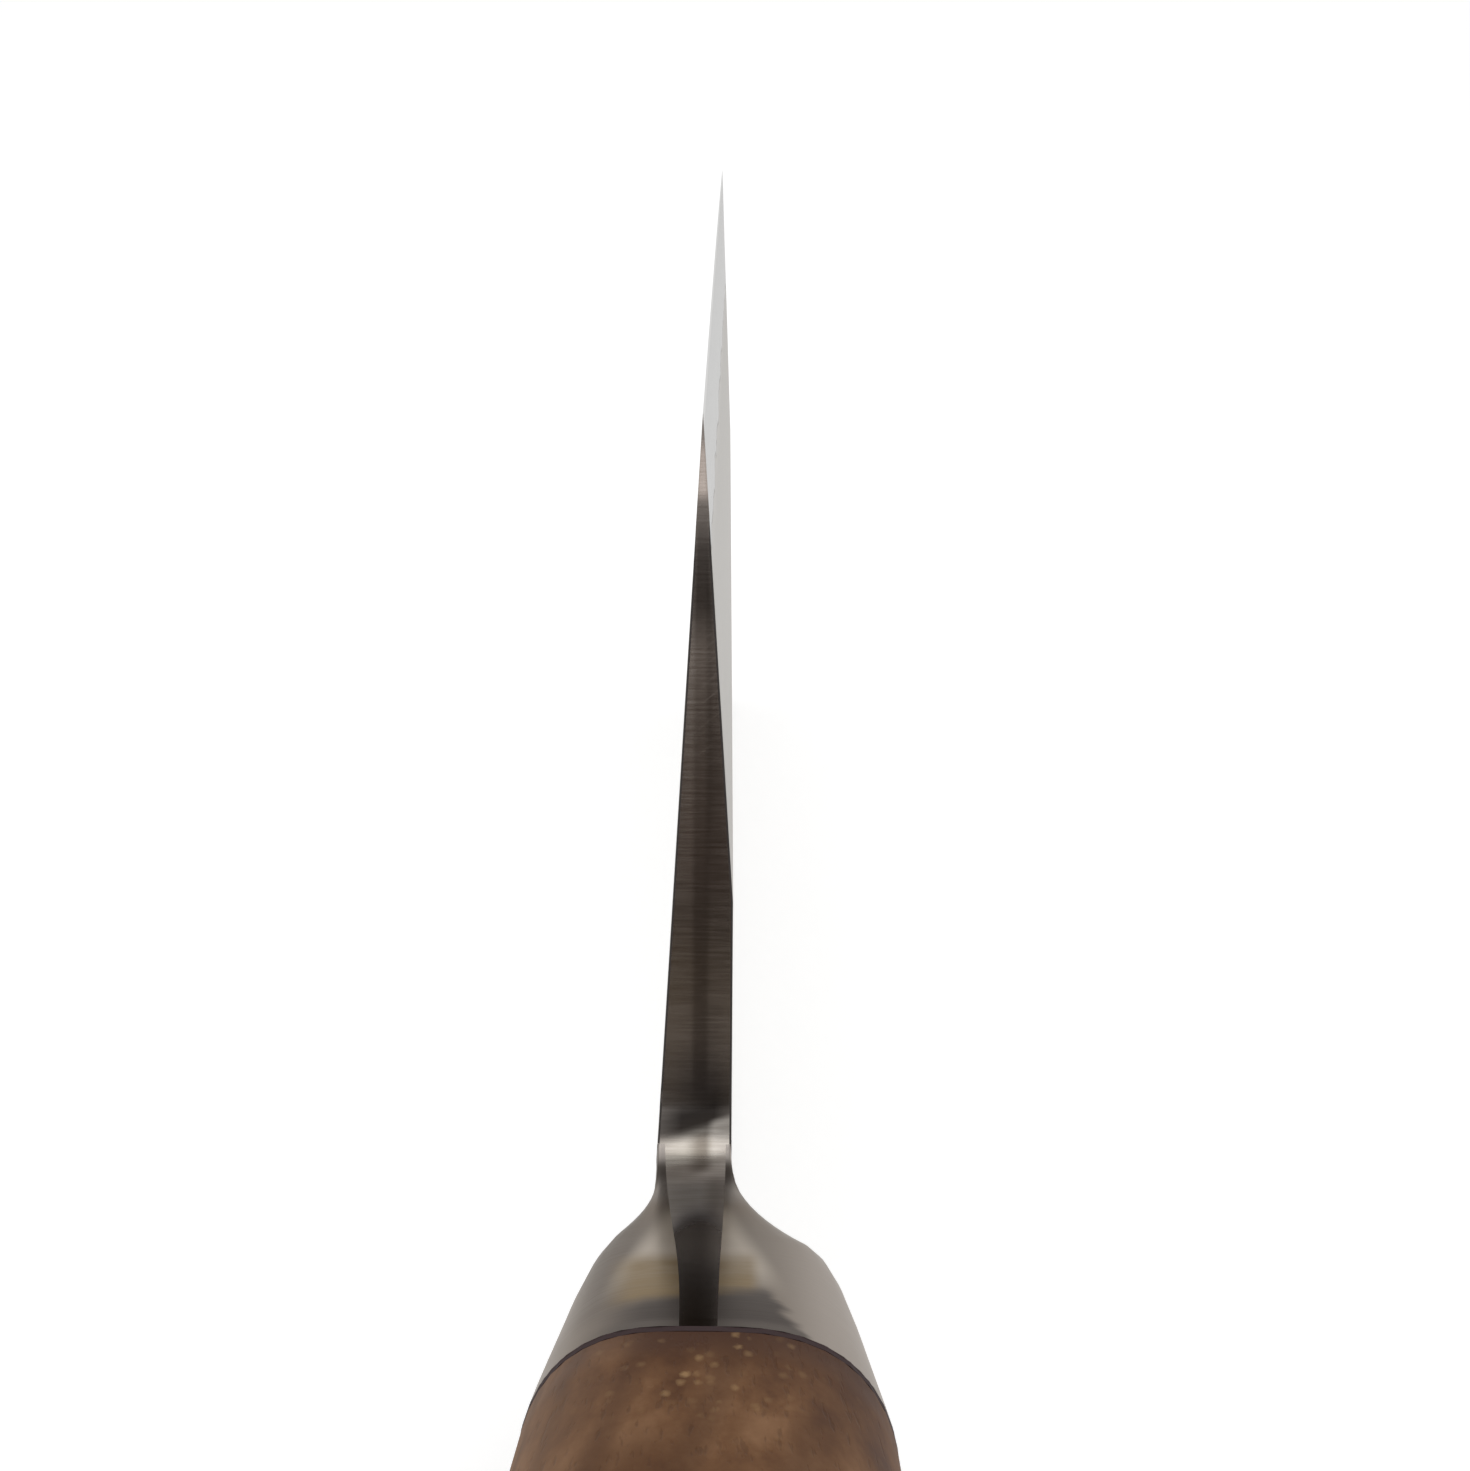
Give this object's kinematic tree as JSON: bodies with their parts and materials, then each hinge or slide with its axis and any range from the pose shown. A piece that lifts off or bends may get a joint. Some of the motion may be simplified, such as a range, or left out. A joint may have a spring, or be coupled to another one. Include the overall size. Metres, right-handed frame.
{
  "type": "nakiri knife",
  "caption": "Nakiri vegetable knife with a tall straight-edged laminated blade, a flared steel bolster and an oval wooden handle on a hidden tang.",
  "frame": {"origin": "the middle of the spine at the heel of the blade, level with the heel face", "axes": "+Y along the blade from handle to tip, +Z from the spine up to the cutting edge as pictured, +X to the right seen from the handle"},
  "size_m": [0.0216, 0.3139, 0.054],
  "materials": {
    "core_steel": "bright polished bevel",
    "cladding_steel": "fine satin, brushed across the blade",
    "bolster_steel": "satin, brushed across the bolster",
    "pin_steel": "drawn bar",
    "black_fibre": "matt vulcanised fibre",
    "handle_wood": "oiled and sanded, open pores",
    "bedding_resin": "cured resin"
  },
  "bodies": {
    "root": {"blade_core": "core_steel", "cladding_left": "cladding_steel", "cladding_right": "cladding_steel", "bolster_left": "bolster_steel", "bolster_right": "bolster_steel", "bolster_pin_front": "pin_steel", "bolster_pin_rear": "pin_steel", "spacer": "black_fibre", "handle": "handle_wood", "tang_bedding": "bedding_resin"}
  },
  "joints": []
}
